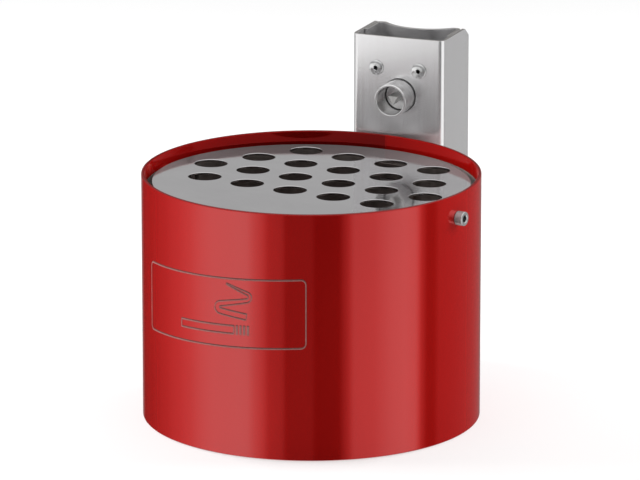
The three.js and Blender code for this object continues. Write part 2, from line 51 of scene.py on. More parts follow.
JOINTS = {joint["name"]: joint for joint in frame["joints"]}

# The drum's own axes: its screws lie along its X.
TILT_AXIS = JOINTS["sieve_tilt"]["axis"]
DRUM_TURN = math.atan2(-TILT_AXIS[1], -TILT_AXIS[0])
DRUM = Matrix.Rotation(DRUM_TURN, 4, "Z")
PIVOT_Z = JOINTS["sieve_tilt"]["pos_m"][2]
RIM_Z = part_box("bin_wall")[1].z
DRUM_R = 102 * MM
WALL_T = 2 * MM

# The bracket's own axes: the pintle axis at x = y = 0. The drum's lugs point at that axis.
PINTLE = Vector(JOINTS["drum_swivel"]["pos_m"])
BRACKET = Matrix.Translation((PINTLE.x, PINTLE.y, 0))
LUGS = Matrix.Rotation(-math.atan2(PINTLE.x, PINTLE.y), 4, "Z")
COVER_LO, COVER_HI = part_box("front_cover")
SEAT_LO, SEAT_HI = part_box("post_seat")
FACE_Y = COVER_LO.y - PINTLE.y
REAR_EDGE_Y = COVER_HI.y - PINTLE.y
BACK_Y = SEAT_HI.y - PINTLE.y
BRACKET_HALF_W = (COVER_HI.x - COVER_LO.x) / 2
SHEET_T = 2 * MM
LOCK_X = JOINTS["plug_turn"]["pos_m"][0] - PINTLE.x
LOCK_Z = JOINTS["plug_turn"]["pos_m"][2]
LOCK_FRONT = BRACKET @ Matrix.Translation((LOCK_X, 0, LOCK_Z)) @ Matrix.Rotation(math.pi / 2, 4, "X")

# The sieve's own axes: its pivot axis at y = z = 0, tilted a little at rest.
SIEVE_TILT = math.radians(1.0)
SIEVE = DRUM @ Matrix.Translation((0, 0, PIVOT_Z)) @ Matrix.Rotation(-SIEVE_TILT, 4, "X")
SIEVE_R = 95.7 * MM
SIEVE_T = 1.5 * MM
SIEVE_TOP = 8.4 * MM
HOLE_R = 10 * MM
HOLE_PITCH = 30.3 * MM
ROW_PITCH = 30.2 * MM
REAR_ROW_Y = 64.8 * MM
HOLES_X = 1.1 * MM
ROW_COUNTS = (4, 5, 6, 5)

# Camera: where it stands round the drum, and what it looks at.
CAMERA_AZIMUTH = math.radians(22.04)
CAMERA_ELEVATION = math.radians(15.16)
CAMERA_DISTANCE = 3.46
CAMERA_LENS_MM = 324.7
AIM_RIGHT = 5.2 * MM
AIM_DOWN = 41.2 * MM


# ---------- mesh tools ----------
ON_AXIS = 1e-9
SAME_POINT = 1e-6
SHARP_ANGLE = math.radians(32)
BEVEL_ANGLE = math.radians(40)


def round_corners(corners, closed, steps=6):
    """Points of a path whose corners are (x, y) or (x, y, radius)."""
    points = []
    count = len(corners)
    for i, corner in enumerate(corners):
        here = Vector(corner[:2])
        radius = corner[2] if len(corner) > 2 else 0
        if not radius or (not closed and i in (0, count - 1)):
            points.append(here)
            continue
        back = (Vector(corners[i - 1][:2]) - here).normalized()
        ahead = (Vector(corners[(i + 1) % count][:2]) - here).normalized()
        half = back.angle(ahead) / 2
        centre = here + (back + ahead).normalized() * radius / math.sin(half)
        first = here + back * radius / math.tan(half) - centre
        turn = math.copysign(math.pi - 2 * half, ahead.cross(back))
        points += [centre + Matrix.Rotation(turn * k / steps, 2) @ first for k in range(steps + 1)]
    return points


def arc(centre, radius, start_deg, end_deg, steps):
    """Points of an arc, both ends included."""
    middle = Vector(centre)
    angles = [math.radians(start_deg + (end_deg - start_deg) * k / steps) for k in range(steps + 1)]
    return [middle + Vector((radius * math.cos(a), radius * math.sin(a))) for a in angles]


def circle(centre, radius, steps=64):
    """Points of a full circle."""
    return arc(centre, radius, 0, 360, steps)[:-1]


def sheet_outline(line, thickness):
    """The outline of a sheet that follows a middle line."""
    sides = {1: [], -1: []}
    for i, point in enumerate(line):
        before = (point - line[max(i - 1, 0)]).normalized()
        after = (line[min(i + 1, len(line) - 1)] - point).normalized()
        along = (before + after).normalized()
        stretch = 1 / max(along.dot(after if after.length else before), 0.5)
        across = Vector((-along.y, along.x)) * thickness * stretch / 2
        for side in sides:
            sides[side].append(point + across * side)
    return sides[-1] + sides[1][::-1]


def finish_mesh(name, mesh, place, material):
    """An object from a mesh: welded, turned outwards and put in its place."""
    bm = bmesh.new()
    bm.from_mesh(mesh)
    bmesh.ops.remove_doubles(bm, verts=bm.verts, dist=SAME_POINT)
    bmesh.ops.dissolve_degenerate(bm, edges=bm.edges, dist=SAME_POINT / 10)
    bmesh.ops.recalc_face_normals(bm, faces=bm.faces)
    bm.transform(place)
    bm.to_mesh(mesh)
    bm.free()
    mesh.name = name
    mesh.materials.append(material)
    piece = bpy.data.objects.new(name, mesh)
    bpy.context.scene.collection.objects.link(piece)
    soften(piece)
    return piece


def soften(piece):
    """Smooth shading but for sharp edges, led by the large faces."""
    mesh = piece.data
    mesh.polygons.foreach_set("use_smooth", [True] * len(mesh.polygons))
    mesh.set_sharp_from_angle(angle=SHARP_ANGLE)
    normals = piece.modifiers.new("normals", "WEIGHTED_NORMAL")
    normals.weight = 100
    normals.keep_sharp = True


def extruded(name, loops, low, high, material, place=Matrix(), edge=0.25 * MM, edge_steps=2):
    """A plate of the area inside the first loop and outside the others, with rounded edges."""
    curve = bpy.data.curves.new(name, "CURVE")
    curve.dimensions = "2D"
    curve.fill_mode = "BOTH"
    curve.extrude = (high - low) / 2 - edge
    curve.bevel_depth = edge
    curve.bevel_resolution = edge_steps
    curve.offset = -edge
    for loop in loops:
        spline = curve.splines.new("POLY")
        spline.points.add(len(loop) - 1)
        for point, co in zip(spline.points, loop):
            point.co = (co[0], co[1], 0, 1)
        spline.use_cyclic_u = True
    holder = bpy.data.objects.new(name, curve)
    bpy.context.scene.collection.objects.link(holder)
    depsgraph = bpy.context.evaluated_depsgraph_get()
    mesh = bpy.data.meshes.new_from_object(holder.evaluated_get(depsgraph))
    bpy.data.objects.remove(holder)
    bpy.data.curves.remove(curve)
    middle = Matrix.Translation((0, 0, (low + high) / 2))
    return finish_mesh(name, mesh, place @ middle, material)


def revolved(name, profile, material, place=Matrix(), segments=96, closed=False):
    """A body turned about its Z from (radius, height) points; a radius of 0 is a point on the axis."""
    bm = bmesh.new()
    turns = [2 * math.pi * k / segments for k in range(segments)]
    directions = [Vector((math.cos(a), math.sin(a))) for a in turns]
    rings = []
    for radius, height in profile:
        if radius < ON_AXIS:
            rings.append([bm.verts.new((0, 0, height))])
            continue
        rings.append([bm.verts.new((*(along * radius), height)) for along in directions])
    pairs = list(zip(rings, rings[1:]))
    if closed:
        pairs.append((rings[-1], rings[0]))
    for low, high in pairs:
        for k in range(segments):
            lower = [low[k % len(low)], low[(k + 1) % len(low)]]
            upper = [high[(k + 1) % len(high)], high[k % len(high)]]
            corners = list(dict.fromkeys(lower + upper))
            if len(corners) > 2:
                bm.faces.new(corners)
    mesh = bpy.data.meshes.new(name)
    bm.to_mesh(mesh)
    bm.free()
    return finish_mesh(name, mesh, place, material)


def facing(direction, origin=(0, 0, 0)):
    """A place whose Z points along a direction."""
    turn = Vector(direction).to_track_quat("Z", "Y").to_matrix().to_4x4()
    return Matrix.Translation(origin) @ turn


def cut(piece, *tools):
    """Takes the tools away from a piece, and deletes them."""
    piece.modifiers.clear()
    for tool in tools:
        tool.modifiers.clear()
        modifier = piece.modifiers.new("cut", "BOOLEAN")
        modifier.operation = "DIFFERENCE"
        modifier.solver = "EXACT"
        modifier.object = tool
    depsgraph = bpy.context.evaluated_depsgraph_get()
    mesh = bpy.data.meshes.new_from_object(piece.evaluated_get(depsgraph))
    piece.modifiers.clear()
    old = piece.data
    piece.data = mesh
    bpy.data.meshes.remove(old)
    soften(piece)
    for tool in tools:
        bpy.data.objects.remove(tool)


def block(low, high, place=Matrix()):
    """A box between two corners, as a cutting tool."""
    outline = [(low[0], low[1]), (high[0], low[1]), (high[0], high[1]), (low[0], high[1])]
    return extruded("tool", [outline], low[2], high[2], PLAIN_TOOL, place, edge=0.0)


def rod(radius, low, high, place):
    """A cylinder along its place's Z, as a cutting tool."""
    profile = [(0, low), (radius, low), (radius, high), (0, high)]
    return revolved("tool", profile, PLAIN_TOOL, place, segments=48)


def stands_for(piece, body, slot_name, *nodes):
    """A piece that rides on a body and takes the place of CAD nodes."""
    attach(piece, body)
    if nodes:
        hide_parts(*nodes)


def dress(node, material):
    """A CAD node that stays, with a material and softened edges."""
    piece = frame["nodes"][node]
    piece.data.materials.clear()
    piece.data.materials.append(material)
    piece.data.polygons.foreach_set("use_smooth", [True] * len(piece.data.polygons))
    weld = piece.modifiers.new("weld", "WELD")
    weld.merge_threshold = 0.002 * MM
    bevel = piece.modifiers.new("bevel", "BEVEL")
    bevel.width = 0.2 * MM
    bevel.segments = 2
    bevel.limit_method = "ANGLE"
    bevel.angle_limit = BEVEL_ANGLE
    bevel.harden_normals = False
    normals = piece.modifiers.new("normals", "WEIGHTED_NORMAL")
    normals.keep_sharp = False


# ---------- materials ----------
# The drum's lengthwise weld, round from +Y towards +X, and the painted shade band beside it on the
# wall's inside, in radians.
SEAM_ANGLE = -DRUM_TURN - math.radians(5)
BAND_EDGE = 0.002
BAND_START = 0.1
BAND_END = 0.7
# Painted shade: the dark red of the band on the wall's inside beside the weld.
PAINTED_SHADE_BAND = (0.05, 0.001, 0.001)
# Painted shade: the dark red put on the rim's upward faces.
PAINTED_RIM_SHADE = (0.07, 0.001, 0.001)
THIN_COAT = 0.35

# How the lacquer shows in mirrors: this share of this tone, the rest its own red.
MIRRORED_SHARE = 0.85
MIRRORED_TONE = (0.40, 0.39, 0.39)


class NodeKit:
    """Shorthand to build a tree of shader nodes."""

    def __init__(self, tree):
        self.nodes = tree.nodes
        self.links = tree.links

    def add(self, kind, **settings):
        node = self.nodes.new(kind)
        for key, value in settings.items():
            setattr(node, key, value)
        return node

    def link(self, source, target):
        self.links.new(source, target)

    def split(self, vector):
        """A node whose outputs are a vector's X, Y and Z."""
        node = self.add("ShaderNodeSeparateXYZ")
        self.link(vector, node.inputs["Vector"])
        return node

    def maths(self, operation, *values):
        """A calculation on numbers or other nodes' outputs."""
        node = self.add("ShaderNodeMath", operation=operation)
        for socket, value in zip(node.inputs, values):
            if isinstance(value, (int, float)):
                socket.default_value = value
            else:
                self.link(value, socket)
        return node.outputs[0]

    def tint(self, source, dark, light):
        """A colour between two by a value from 0 to 1; each is (r, g, b) or another node's output."""
        node = self.add("ShaderNodeMix", data_type="RGBA")
        self.link(source, node.inputs["Factor"])
        for key, colour in (("A", dark), ("B", light)):
            if isinstance(colour, tuple):
                node.inputs[key].default_value = (*colour, 1)
            else:
                self.link(colour, node.inputs[key])
        return node.outputs["Result"]


class Shader(NodeKit):
    """A principled material and the shorthand for its patterns."""

    def __init__(self, name, **inputs):
        self.material = bpy.data.materials.new(name)
        self.material.use_nodes = True
        super().__init__(self.material.node_tree)
        self.bsdf = self.nodes["Principled BSDF"]
        self.place = self.add("ShaderNodeTexCoord").outputs["Object"]
        for key, value in inputs.items():
            self.bsdf.inputs[key.replace("_", " ")].default_value = value

    def stretched(self, scale, rotation=(0, 0, 0)):
        """Object coordinates scaled per axis, in features per metre."""
        mapping = self.add("ShaderNodeMapping")
        mapping.inputs["Scale"].default_value = scale
        mapping.inputs["Rotation"].default_value = rotation
        self.link(self.place, mapping.inputs["Vector"])
        return mapping.outputs["Vector"]

    def noise(self, vector, detail=3.0, distortion=0.0):
        """Cloudy noise from 0 to 1, mostly between 0.3 and 0.7."""
        node = self.add("ShaderNodeTexNoise")
        node.inputs["Scale"].default_value = 1.0
        node.inputs["Detail"].default_value = detail
        node.inputs["Roughness"].default_value = 0.55
        node.inputs["Distortion"].default_value = distortion
        self.link(vector, node.inputs["Vector"])
        return node.outputs["Fac"]

    def spread(self, source, low, high, from_low=0.3, from_high=0.7):
        """A value mapped from its usual range to low..high."""
        node = self.add("ShaderNodeMapRange")
        node.inputs["From Min"].default_value = from_low
        node.inputs["From Max"].default_value = from_high
        node.inputs["To Min"].default_value = low
        node.inputs["To Max"].default_value = high
        self.link(source, node.inputs["Value"])
        return node.outputs["Result"]

    def normal(self):
        """The X, Y and Z of the way the surface faces, in the object's own axes."""
        return self.split(self.add("ShaderNodeTexCoord").outputs["Normal"])

    def total(self, first, second, share=0.5):
        """Two values mixed, with the second one's share."""
        node = self.add("ShaderNodeMix", data_type="FLOAT")
        node.inputs["Factor"].default_value = share
        self.link(first, node.inputs["A"])
        self.link(second, node.inputs["B"])
        return node.outputs["Result"]

    def bump(self, height, strength, distance, target="Normal"):
        """Relief in the surface, or in its clear coat."""
        node = self.add("ShaderNodeBump")
        node.inputs["Strength"].default_value = strength
        node.inputs["Distance"].default_value = distance
        self.link(height, node.inputs["Height"])
        self.link(node.outputs["Normal"], self.bsdf.inputs[target])

    def drive(self, source, target):
        """Sets one of the material's inputs from a node's output."""
        self.link(source, self.bsdf.inputs[target])

    def colour(self, pattern, dark, light):
        """The base colour: two colours mottled by a noise pattern."""
        self.drive(self.tint(self.spread(pattern, 0, 1), dark, light), "Base Color")


def red_lacquer():
    """Translucent red lacquer over fine-brushed sheet: part pigment, part metal, under a clear coat.

    The coat is thin on the wall's inside, where a band beside the lengthwise weld is painted
    darker as shade, and the rim's top is painted dark as shade. Mirrored in the stainless parts the
    lacquer shows almost as bare steel, so that they stay neutral grey.
    """
    shader = Shader("red_lacquer", Metallic=0.47, Coat_IOR=1.45, Coat_Roughness=0.0)
    shader.bsdf.inputs["Specular IOR Level"].default_value = 0.0
    shader.bsdf.inputs["Specular Tint"].default_value = (0.9, 0.08, 0.06, 1)
    grain = shader.noise(shader.stretched((1100, 1100, 6)), detail=3)
    cloud = shader.noise(shader.stretched((9, 9, 6)), detail=2)
    red = shader.tint(shader.spread(cloud, 0, 1), (0.47, 0.004, 0.003), (0.52, 0.007, 0.005))
    # Faces that point up, the rim's top, are painted dark red as shade.
    rim_top_shade = shader.spread(shader.normal().outputs["Z"], 0, 0.75, 0.3, 0.9)
    red = shader.tint(rim_top_shade, red, PAINTED_RIM_SHADE)
    place = shader.split(shader.place)
    angle_round_drum = shader.maths("ARCTAN2", place.outputs["X"], place.outputs["Y"])
    step = shader.spread(angle_round_drum, 0, 1, SEAM_ANGLE + BAND_EDGE, SEAM_ANGLE - BAND_EDGE)
    fade = shader.spread(angle_round_drum, 0, 0.5, SEAM_ANGLE - BAND_END, SEAM_ANGLE - BAND_START)
    facing_out = [
        shader.maths("MULTIPLY", place.outputs[axis], shader.normal().outputs[axis]) for axis in "XY"
    ]
    inward = shader.maths("LESS_THAN", shader.maths("ADD", *facing_out), 0.0)
    # A band on the wall's inside, edged at the weld, is painted dark red as shade.
    band = shader.maths("MULTIPLY", shader.maths("MULTIPLY", step, fade), inward)
    red = shader.tint(band, red, PAINTED_SHADE_BAND)
    is_mirrored = shader.add("ShaderNodeLightPath").outputs["Is Glossy Ray"]
    mirrored = shader.maths("MULTIPLY", is_mirrored, MIRRORED_SHARE)
    shader.drive(shader.tint(mirrored, red, MIRRORED_TONE), "Base Color")
    shader.drive(shader.spread(inward, 1.0, THIN_COAT, 0, 1), "Coat Weight")
    shader.drive(shader.spread(grain, 0.09, 0.13), "Roughness")
    shader.bump(grain, 0.06, 0.01 * MM)
    peel = shader.noise(shader.stretched((240, 240, 240)), detail=1)
    shader.bump(peel, 0.03, 0.02 * MM, "Coat Normal")
    return shader.material


def drum_inside():
    """The drum's inside under the sieve: lacquer dulled by ash and soot."""
    shader = Shader("drum_inside", Metallic=0.0)
    soot = shader.noise(shader.stretched((60, 60, 40)), detail=5)
    streak = shader.noise(shader.stretched((180, 180, 14)), detail=3)
    mixed = shader.total(soot, streak)
    shader.colour(mixed, (0.17, 0.145, 0.135), (0.36, 0.32, 0.30))
    shader.drive(shader.spread(mixed, 0.85, 0.6), "Roughness")
    shader.bump(soot, 0.3, 0.2 * MM)
    return shader.material


def painted_recess_shade():
    """Painted shade for the bottom of a rivet's hole or a screw's socket: near black, dull."""
    shader = Shader("painted_recess_shade", Metallic=0.0)
    dust = shader.noise(shader.stretched((1500, 1500, 1500)), detail=2)
    shader.colour(dust, (0.012, 0.011, 0.011), (0.035, 0.033, 0.032))
    shader.drive(shader.spread(dust, 0.7, 0.9), "Roughness")
    return shader.material


def brushed_stainless():
    """Sheet brushed upright: fine long scratches; faces that point up are rougher and painted dark as
    shade.
    """
    shader = Shader("brushed_stainless", Metallic=0.88)
    fine = shader.noise(shader.stretched((3200, 3200, 16)), detail=3)
    wide = shader.noise(shader.stretched((800, 800, 4)), detail=2)
    grain = shader.total(fine, wide, 0.3)
    steel = shader.tint(shader.spread(grain, 0, 1), (0.74, 0.73, 0.73), (0.80, 0.80, 0.81))
    # Faces that point up, the sheets' top edges, are painted dark as shade and made rougher.
    upward_painted_shade = shader.spread(shader.normal().outputs["Z"], 0, 1, 0.6, 0.9)
    shader.drive(shader.tint(upward_painted_shade, steel, (0.22, 0.21, 0.20)), "Base Color")
    rough = shader.total(shader.spread(grain, 0.30, 0.36), upward_painted_shade, 0.25)
    shader.drive(rough, "Roughness")
    shader.bump(grain, 0.12, 0.008 * MM)
    return shader.material


def polished_stainless():
    """Bright-rolled sheet: near mirror, with faint rolling lines and wipe marks."""
    shader = Shader("polished_stainless", Metallic=1.0)
    lines = shader.noise(shader.stretched((40, 1400, 40), (0, 0, DRUM_TURN)), detail=3)
    wipes = shader.noise(shader.stretched((22, 30, 22)), detail=4, distortion=0.8)
    shader.colour(wipes, (0.61, 0.60, 0.61), (0.66, 0.65, 0.66))
    shader.drive(shader.spread(shader.total(lines, wipes, 0.6), 0.06, 0.10), "Roughness")
    shader.bump(lines, 0.06, 0.01 * MM)
    return shader.material


def turned_steel():
    """Lathe-turned steel: fine rings along Y."""
    shader = Shader("turned_steel", Metallic=0.92)
    rings = shader.noise(shader.stretched((30, 2600, 30)), detail=2)
    cloud = shader.noise(shader.stretched((240, 240, 240)), detail=3)
    shader.colour(cloud, (0.66, 0.65, 0.65), (0.80, 0.80, 0.80))
    shader.drive(shader.spread(rings, 0.16, 0.28), "Roughness")
    shader.bump(rings, 0.3, 0.015 * MM)
    return shader.material


def zinc_steel():
    """Plain fasteners: bright steel with a mottled skin."""
    shader = Shader("fastener_steel", Metallic=1.0)
    mottle = shader.noise(shader.stretched((700, 700, 700)), detail=3)
    shader.colour(mottle, (0.56, 0.56, 0.56), (0.68, 0.68, 0.68))
    shader.drive(shader.spread(mottle, 0.12, 0.2), "Roughness")
    shader.bump(mottle, 0.05, 0.01 * MM)
    return shader.material


def cast_stud():
    """The key stud's pale, grainy cast face."""
    shader = Shader("cast_stud", Metallic=0.55)
    grain = shader.noise(shader.stretched((1600, 1600, 1600)), detail=3)
    shader.colour(grain, (0.70, 0.70, 0.68), (0.95, 0.95, 0.93))
    shader.drive(shader.spread(grain, 0.35, 0.5), "Roughness")
    shader.bump(grain, 0.3, 0.05 * MM)
    return shader.material


def nylon():
    """Natural nylon: waxy off-white with faint mould grain."""
    shader = Shader("nylon", Roughness=0.5, Subsurface_Weight=0.15, Subsurface_Scale=1.5 * MM)
    grain = shader.noise(shader.stretched((1200, 1200, 1200)), detail=2)
    shader.colour(grain, (0.74, 0.72, 0.65), (0.84, 0.83, 0.77))
    shader.bump(grain, 0.2, 0.02 * MM)
    return shader.material


def pictogram_ink(name, dark, light):
    """The pictogram's lines, etched through the lacquer, and their painted groove shadow: a worn tone
    between two.
    """
    shader = Shader(name, Metallic=0.2)
    wear = shader.noise(shader.stretched((420, 420, 420)), detail=3)
    shader.colour(wear, dark, light)
    shader.drive(shader.spread(wear, 0.5, 0.7), "Roughness")
    return shader.material


def floor_white():
    """White paper that glows a little, so that shadows on it stay faint."""
    glow = {"Emission_Color": (1, 1, 1, 1), "Emission_Strength": 0.55}
    shader = Shader("floor_white", Roughness=0.9, **glow)
    cloud = shader.noise(shader.stretched((0.8, 0.8, 0.8)), detail=2)
    shader.colour(cloud, (0.41, 0.41, 0.41), (0.43, 0.43, 0.43))
    return shader.material


PLAIN_TOOL = bpy.data.materials.new("plain_tool")
RED = red_lacquer()
INSIDE = drum_inside()
RECESS_SHADE = painted_recess_shade()
BRUSHED = brushed_stainless()
POLISHED = polished_stainless()
TURNED = turned_steel()
FASTENER = zinc_steel()
STUD = cast_stud()
NYLON = nylon()
LINE_INK = pictogram_ink("line_ink", (0.29, 0.11, 0.10), (0.38, 0.16, 0.15))
# Painted shadow along the etched lines' upper edges.
GROOVE_SHADOW = pictogram_ink("painted_groove_shadow", (0.08, 0.02, 0.018), (0.12, 0.035, 0.03))


# ---------- drum ----------
INNER_R = DRUM_R - WALL_T
RED_DOWN_TO = RIM_Z - 9 * MM
PAN_UPSTAND = 12 * MM
SCREW_R = 2.5 * MM
SCREW_HEAD_R = 4.25 * MM
SCREW_HEAD_H = 5 * MM
SOCKET_CORNER_R = 2.31 * MM


def lug_slit(node):
    """A slit round one eye lug's neck, as a cutting tool."""
    low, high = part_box(node)
    play = 0.3 * MM
    half_w = 6 * MM + play
    inner_corner = (-half_w, INNER_R - 8 * MM, low.z - play)
    outer_corner = (half_w, DRUM_R + 5 * MM, high.z + play)
    return block(inner_corner, outer_corner, LUGS)


def drum_shell():
    """The drum's wall: red outside and near the rim, sooty further down inside."""
    foot_edge = 0.5 * MM
    rim_edge = 0.7 * MM
    profile = round_corners(
        [
            (INNER_R, 0, foot_edge),
            (DRUM_R, 0, foot_edge),
            (DRUM_R, RIM_Z, rim_edge),
            (INNER_R, RIM_Z, rim_edge),
            (INNER_R, RED_DOWN_TO),
        ],
        closed=True,
        steps=5,
    )
    shell = revolved("drum_shell", profile, RED, DRUM, segments=288, closed=True)
    across = DRUM @ facing((1, 0, 0), (0, 0, PIVOT_Z))
    screw_hole = rod(SCREW_R + 0.3 * MM, -DRUM_R - WALL_T, DRUM_R + WALL_T, across)
    cut(shell, screw_hole, lug_slit("eye_lug_upper"), lug_slit("eye_lug_lower"))
    shell.data.materials.append(INSIDE)
    for face in shell.data.polygons:
        inward = face.center.xy.length < DRUM_R - WALL_T * 0.9
        face.material_index = 1 if inward and face.center.z < RED_DOWN_TO else 0
    stands_for(shell, "drum", "red_lacquer", "bin_wall")


def base_pan():
    """The base: a shallow pan with its edge turned up, red underneath."""
    thick = 1.5 * MM
    middle_r = INNER_R - 0.3 * MM - thick / 2
    line = [(0, thick / 2), (middle_r, thick / 2, 3.2 * MM), (middle_r, PAN_UPSTAND)]
    outline = sheet_outline(round_corners(line, closed=False), thick)
    pan = revolved("base_pan", outline, INSIDE, segments=160)
    pan.data.materials.append(RED)
    for face in pan.data.polygons:
        face.material_index = 1 if face.normal.z < -0.3 else 0
    stands_for(pan, "drum", "red_lacquer", "bin_base")


def weld_ring():
    """The weld bead between the base pan's upstand and the wall, on the inside."""
    bead_r = 0.7 * MM
    middle = (INNER_R - bead_r * 0.6, PAN_UPSTAND + 0.2 * MM)
    ring = revolved("base_weld", arc(middle, bead_r, 0, 330, 11), INSIDE, segments=160, closed=True)
    stands_for(ring, "drum", "red_lacquer")


def seam_bead():
    """The drum's lengthwise weld, dressed to a low flat bead inside the rear wall."""
    half_w = 0.9 * MM
    proud = 0.12 * MM
    outline = round_corners(
        [
            (-half_w, INNER_R + proud),
            (half_w, INNER_R + proud),
            (half_w * 0.6, INNER_R - proud, 0.2 * MM),
            (-half_w * 0.6, INNER_R - proud, 0.2 * MM),
        ],
        closed=True,
        steps=3,
    )
    place = Matrix.Rotation(-SEAM_ANGLE, 4, "Z")
    top = RIM_Z - 0.8 * MM
    bead = extruded("seam_bead", [outline], RED_DOWN_TO, top, RED, place, edge=0.1 * MM)
    stands_for(bead, "drum", "red_lacquer")


def socket_screw(name, node, side):
    """M5 socket-head screw: a head with a rounded rim, a hexagon socket and a plain shank."""
    seat = DRUM_R + 0.1 * MM
    top = seat + SCREW_HEAD_H
    tip = seat - 20 * MM
    place = DRUM @ facing((side, 0, 0), (0, 0, PIVOT_Z))
    profile = round_corners(
        [
            (0, tip),
            (SCREW_R - 0.2 * MM, tip),
            (SCREW_R, tip + 0.5 * MM),
            (SCREW_R, seat),
            (SCREW_HEAD_R, seat, 0.2 * MM),
            (SCREW_HEAD_R, top, 0.45 * MM),
            (SCREW_R + 0.1 * MM, top, 0.15 * MM),
            (SCREW_R - 0.2 * MM, top - 0.3 * MM),
            (SCREW_R - 0.2 * MM, top - 0.5 * MM),
            (0, top - 0.5 * MM),
        ],
        closed=False,
        steps=4,
    )
    screw = revolved(name, profile, FASTENER, place, segments=72)
    hexagon = circle((0, 0), SOCKET_CORNER_R, 6)
    socket = extruded("tool", [hexagon], top - 2.6 * MM, top + MM, PLAIN_TOOL, place, edge=0.0)
    cut(screw, socket)
    # The socket's deep faces get the painted recess shade.
    screw.data.materials.append(RECESS_SHADE)
    for face in screw.data.polygons:
        inside = place.inverted() @ face.center
        deep = seat + 2 * MM < inside.z < top - 1.2 * MM
        face.material_index = 1 if deep and inside.xy.length < SOCKET_CORNER_R else 0
    stands_for(screw, "drum", "fastener_steel", node)


# ---------- pictogram ----------
PICTOGRAM_ANGLE = math.radians(-3.2)
PICTOGRAM_Z = RIM_Z - 63.4 * MM
PICTOGRAM_SLOPE = math.tan(math.radians(2.9))
LINE_W = 0.72 * MM
SMOKE_LINE_W = 0.55 * MM
TICK_W = 1.4 * MM
TICKS = 4


def on_drum(point, lift):
    """A point of the pictogram's plane, (right, up) from its middle, laid on the drum."""
    angle = PICTOGRAM_ANGLE + point[0] / DRUM_R
    radius = DRUM_R + lift
    height = PICTOGRAM_Z + point[1] + point[0] * PICTOGRAM_SLOPE
    return Vector((radius * math.sin(angle), -radius * math.cos(angle), height))


def dense(points, closed, step=1.2 * MM):
    """The same path with a point at least every step, so that it follows the drum."""
    ends = points[1:] + points[:1] if closed else points[1:]
    path = []
    for start, end in zip(points, ends):
        count = max(1, math.ceil((end - start).length / step))
        path += [start.lerp(end, k / count) for k in range(count)]
    return path if closed else path + [points[-1]]


def ribbon(bm, path, closed, width, lift, slot):
    """A flat ribbon, closed all round, along a path on the drum, with its material slot."""
    count = len(path)
    half_t = 0.015 * MM
    rows = []
    for i, here in enumerate(path):
        before = path[i - 1] if closed or i else here
        after = path[(i + 1) % count] if closed or i < count - 1 else here
        along = (after - before).normalized()
        across = Vector((-along.y, along.x)) * width / 2
        left, right = here + across, here - across
        corners = ((left, -half_t), (left, half_t), (right, half_t), (right, -half_t))
        rows.append([bm.verts.new(on_drum(p, lift + t)) for p, t in corners])
    faces = []
    for i in range(count if closed else count - 1):
        first, second = rows[i], rows[(i + 1) % count]
        for k in range(4):
            faces.append(bm.faces.new((first[k], first[(k + 1) % 4], second[(k + 1) % 4], second[k])))
    if not closed:
        faces.append(bm.faces.new(rows[0]))
        faces.append(bm.faces.new(rows[-1][::-1]))
    for face in faces:
        face.material_index = slot


def drawn_line(bm, points, closed=False, width=LINE_W):
    """An etched line: a light ribbon over a dark one, a painted shadow of the groove, that shows along
    its upper edge.
    """
    path = dense([Vector(p) for p in points], closed)
    shift = Vector((0.1 * MM, 0.5 * MM))
    shadow_slot, light_slot = 1, 0
    # The dark ribbon, shifted up, is a painted shadow of the groove's upper edge.
    ribbon(bm, [p + shift for p in path], closed, width, 0.02 * MM, shadow_slot)
    ribbon(bm, path, closed, width, 0.06 * MM, light_slot)


def smoke_outline():
    """A ribbon of smoke that winds upwards and thins out: its closed outline."""
    bends = [(23.5, -2.0), (-8.0, 2.8), (32.0, 9.2), (10.5, 17.6)]
    radius = 2.2 * MM
    line = dense(round_corners([(x * MM, y * MM, radius) for x, y in bends], False, 6), False)
    last = len(line) - 1
    sides = ([], [])
    for i, here in enumerate(line):
        half_w = (1.8 - 1.5 * (i / last) ** 2) * MM
        along = (line[min(i + 1, last)] - line[max(i - 1, 0)]).normalized()
        across = Vector((-along.y, along.x)) * half_w
        sides[0].append(here + across)
        sides[1].append(here - across)
    return sides[0] + sides[1][::-1]


def pictogram():
    """A frame with a cigarette and a ribbon of smoke: the usual sign for a place to smoke."""
    bm = bmesh.new()
    half_w, half_h = 59.5 * MM, 20.8 * MM
    corners = [(-half_w, -half_h), (half_w, -half_h), (half_w, half_h), (-half_w, half_h)]
    drawn_line(bm, round_corners([(*c, 3.0 * MM) for c in corners], True, 6), closed=True)
    left, right, tip = -24 * MM, 15.5 * MM, 25 * MM
    low, high = -12.6 * MM, -7.8 * MM
    drawn_line(bm, [(left, low), (right, low), (right, high), (left, high)], closed=True)
    for k in range(TICKS):
        x = right + (tip - right) * (k + 0.8) / TICKS
        drawn_line(bm, [(x, low - LINE_W / 2), (x, high + LINE_W / 2)], width=TICK_W)
    drawn_line(bm, smoke_outline(), closed=True, width=SMOKE_LINE_W)
    mesh = bpy.data.meshes.new("pictogram")
    bm.to_mesh(mesh)
    bm.free()
    sign = finish_mesh("pictogram", mesh, DRUM, LINE_INK)
    # Second slot: the painted groove shadow.
    sign.data.materials.append(GROOVE_SHADOW)
    stands_for(sign, "drum", "red_lacquer")


